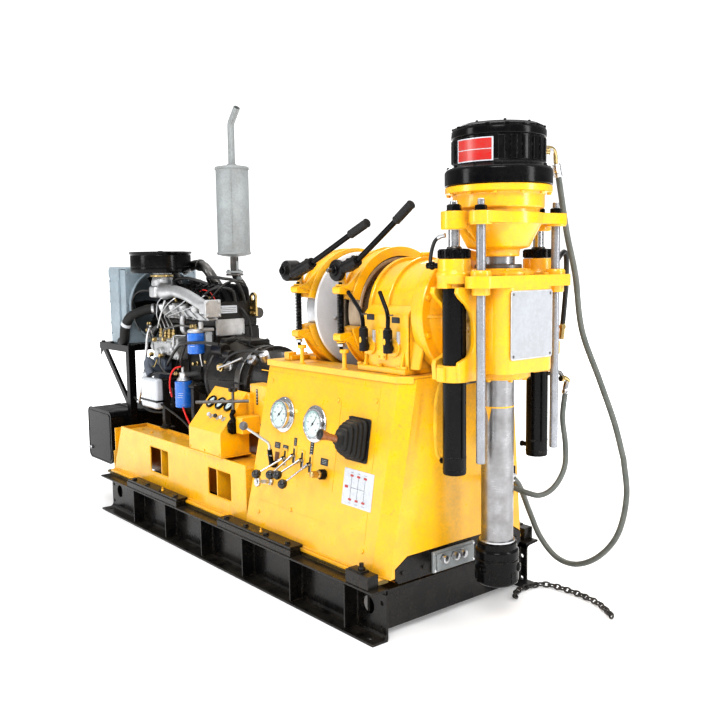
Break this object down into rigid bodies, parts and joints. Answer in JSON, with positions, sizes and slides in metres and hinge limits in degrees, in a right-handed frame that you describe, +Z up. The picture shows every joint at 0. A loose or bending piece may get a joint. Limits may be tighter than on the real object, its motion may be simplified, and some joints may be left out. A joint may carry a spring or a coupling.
{
  "type": "core drilling rig",
  "caption": "Skid-mounted core drilling rig: sliding frame with diesel engine, geared band-brake winch, swivelling hydraulic-feed spindle head with chuck, and an operator's lever panel.",
  "frame": {"origin": "middle of the rectangle of four anchor bolt holes, on the ground under the skid", "axes": "+X along the skid towards the spindle, -Y the operator's side, +Z up"},
  "size_m": [3.16, 0.9584, 2.2119],
  "materials": {
    "yellow_paint": "gloss enamel, slightly dusty",
    "black_paint": "satin enamel",
    "engine_grey": "painted casting, oily",
    "grey_paint": "semi-gloss enamel",
    "bright_steel": "machined",
    "chrome_rod": "hard-chromed, oiled",
    "greased_rail": "machined and greased",
    "iron": "machined casting",
    "lining": "woven friction lining",
    "black_rubber": "moulded",
    "silver_cast": "sand-cast",
    "filter_blue": "gloss enamel",
    "wood_grip": "varnished",
    "brass": "turned",
    "white_plate": "smooth",
    "gauge": "bright bezel",
    "black_plastic": "moulded"
  },
  "bodies": {
    "skid": {"skid_frame": "black_paint", "slide_rails": "greased_rail", "hold_down_bars": "black_paint", "travel_cylinder": "black_paint"},
    "carriage": {"travel_rod": "chrome_rod", "main_frame": "yellow_paint", "front_housing": "yellow_paint", "front_beam": "black_paint", "top_deck": "yellow_paint", "console_box": "yellow_paint", "fuel_tank": "black_paint", "radiator_bracket": "black_paint", "radiator": "grey_paint", "engine_block": "engine_grey", "cylinder_head": "black_paint", "flywheel_housing": "engine_grey", "intake_manifold": "silver_cast", "air_cleaner": "black_paint", "exhaust_pipe": "grey_paint", "injection_pump": "silver_cast", "oil_filters": "filter_blue", "fan_belt": "black_rubber", "gearbox_housing": "yellow_paint", "brake_band_left": "yellow_paint", "brake_band_right": "yellow_paint", "band_linings": "lining", "band_bolts": "black_paint", "pressure_gauges": "gauge", "panel_plates": "white_plate", "lever_boot": "black_rubber"},
    "crank": {"crankshaft": "iron"},
    "fan": {"cooling_fan": "black_paint"},
    "input": {"input_shaft": "bright_steel"},
    "main_shaft": {"winch_shaft": "bright_steel"},
    "drum": {"winch_drum": "iron"},
    "ring": {"hoist_ring": "iron"},
    "hoist_handle": {"hoist_lever": "black_paint"},
    "brake_handle": {"brake_lever": "black_paint"},
    "shift_low": {"shift_lever_low": "black_paint"},
    "shift_high": {"shift_lever_high": "black_paint"},
    "feed_handle": {"feed_lever": "wood_grip"},
    "valve_1": {"valve_lever_1": "black_plastic"},
    "valve_2": {"valve_lever_2": "black_plastic"},
    "valve_3": {"valve_lever_3": "black_plastic"},
    "valve_4": {"valve_lever_4": "black_plastic"},
    "regulator": {"regulator_wheel": "bright_steel"},
    "relief": {"relief_knob": "brass"},
    "clutch_handle": {"clutch_lever": "black_plastic"},
    "throttle": {"throttle_lever": "black_plastic"},
    "head": {"head_housing": "yellow_paint", "feed_barrels": "black_paint", "name_plate": "white_plate"},
    "sleeve": {"drive_sleeve": "iron"},
    "crosshead": {"crosshead": "yellow_paint", "piston_rods": "chrome_rod", "guide_rods": "chrome_rod", "chuck_housing": "black_paint"},
    "spindle": {"spindle_tube": "bright_steel", "lower_chuck": "iron", "chuck_bowl": "iron"}
  },
  "joints": [
    {"name": "frame_travel", "type": "slide", "parent": "skid", "child": "carriage", "axis": [-1, 0, 0], "range_m": [0, 0.41]},
    {"name": "crank_spin", "type": "hinge", "parent": "carriage", "child": "crank", "pos_m": [-0.6, 0, 0.8], "axis": [1, 0, 0], "continuous": true},
    {"name": "fan_spin", "type": "hinge", "parent": "carriage", "child": "fan", "pos_m": [-1.13, 0, 1.15], "axis": [1, 0, 0], "continuous": true},
    {"name": "input_spin", "type": "hinge", "parent": "carriage", "child": "input", "pos_m": [0.16, 0, 0.8], "axis": [1, 0, 0], "continuous": true},
    {"name": "main_shaft_spin", "type": "hinge", "parent": "carriage", "child": "main_shaft", "pos_m": [0.9, 0, 1.181], "axis": [1, 0, 0], "continuous": true},
    {"name": "drum_spin", "type": "hinge", "parent": "carriage", "child": "drum", "pos_m": [0.62, 0, 1.181], "axis": [1, 0, 0], "continuous": true},
    {"name": "ring_spin", "type": "hinge", "parent": "carriage", "child": "ring", "pos_m": [0.81, 0, 1.181], "axis": [1, 0, 0], "continuous": true},
    {"name": "head_swivel", "type": "hinge", "parent": "carriage", "child": "head", "pos_m": [1.2, 0, 1.181], "axis": [1, 0, 0], "range_deg": [-90, 0]},
    {"name": "sleeve_spin", "type": "hinge", "parent": "head", "child": "sleeve", "pos_m": [1.371, 0, 1.1], "axis": [0, 0, 1], "continuous": true},
    {"name": "spindle_feed", "type": "slide", "parent": "head", "child": "crosshead", "axis": [0, 0, 1], "range_m": [0, 0.6]},
    {"name": "spindle_spin", "type": "hinge", "parent": "crosshead", "child": "spindle", "pos_m": [1.371, 0, 1.1], "axis": [0, 0, 1], "continuous": true},
    {"name": "hoist_lever_turn", "type": "hinge", "parent": "carriage", "child": "hoist_handle", "pos_m": [0.792, -0.285, 1.35], "axis": [0, 1, 0], "range_deg": [-25, 8]},
    {"name": "brake_lever_turn", "type": "hinge", "parent": "carriage", "child": "brake_handle", "pos_m": [0.508, -0.3, 1.35], "axis": [0, 1, 0], "range_deg": [-25, 8]},
    {"name": "low_shift_turn", "type": "hinge", "parent": "carriage", "child": "shift_low", "pos_m": [0.938, -0.24, 1.06], "axis": [0, 1, 0], "range_deg": [0, 20]},
    {"name": "high_shift_turn", "type": "hinge", "parent": "carriage", "child": "shift_high", "pos_m": [1.077, -0.24, 1.06], "axis": [0, 1, 0], "range_deg": [-15, 15]},
    {"name": "feed_handle_tilt", "type": "hinge", "parent": "carriage", "child": "feed_handle", "pos_m": [0.95, -0.32838, 0.70586], "axis": [1, 0, 0], "range_deg": [-9, 10]},
    {"name": "valve_1_tilt", "type": "hinge", "parent": "carriage", "child": "valve_1", "pos_m": [0.481, -0.34843, 0.55839], "axis": [1, 0, 0], "range_deg": [-12, 12]},
    {"name": "valve_2_tilt", "type": "hinge", "parent": "carriage", "child": "valve_2", "pos_m": [0.545, -0.34514, 0.57939], "axis": [1, 0, 0], "range_deg": [-12, 12]},
    {"name": "valve_3_tilt", "type": "hinge", "parent": "carriage", "child": "valve_3", "pos_m": [0.604, -0.34655, 0.57039], "axis": [1, 0, 0], "range_deg": [-12, 12]},
    {"name": "valve_4_tilt", "type": "hinge", "parent": "carriage", "child": "valve_4", "pos_m": [0.661, -0.34796, 0.56139], "axis": [1, 0, 0], "range_deg": [-12, 12]},
    {"name": "regulator_turn", "type": "hinge", "parent": "carriage", "child": "regulator", "pos_m": [0.404, -0.377, 0.44709], "axis": [0, -0.988, 0.1547], "range_deg": [-360, 360]},
    {"name": "relief_turn", "type": "hinge", "parent": "carriage", "child": "relief", "pos_m": [0.762, -0.36228, 0.54109], "axis": [0, -0.988, 0.1547], "range_deg": [-180, 180]},
    {"name": "clutch_lever_turn", "type": "hinge", "parent": "carriage", "child": "clutch_handle", "pos_m": [0.416, -0.35521, 0.52155], "axis": [0, -0.988, 0.1547], "range_deg": [-5, 25]},
    {"name": "throttle_tilt", "type": "hinge", "parent": "carriage", "child": "throttle", "pos_m": [0.05, -0.325, 0.637], "axis": [1, 0, 0], "range_deg": [-3, 15]}
  ],
  "couplings": [
    {"joint": "fan_spin", "follows": "crank_spin", "ratio": 1.25},
    {"joint": "input_spin", "follows": "crank_spin", "ratio": 1},
    {"joint": "main_shaft_spin", "follows": "crank_spin", "ratio": -1},
    {"joint": "sleeve_spin", "follows": "crank_spin", "ratio": -0.5},
    {"joint": "spindle_spin", "follows": "crank_spin", "ratio": -0.5}
  ]
}
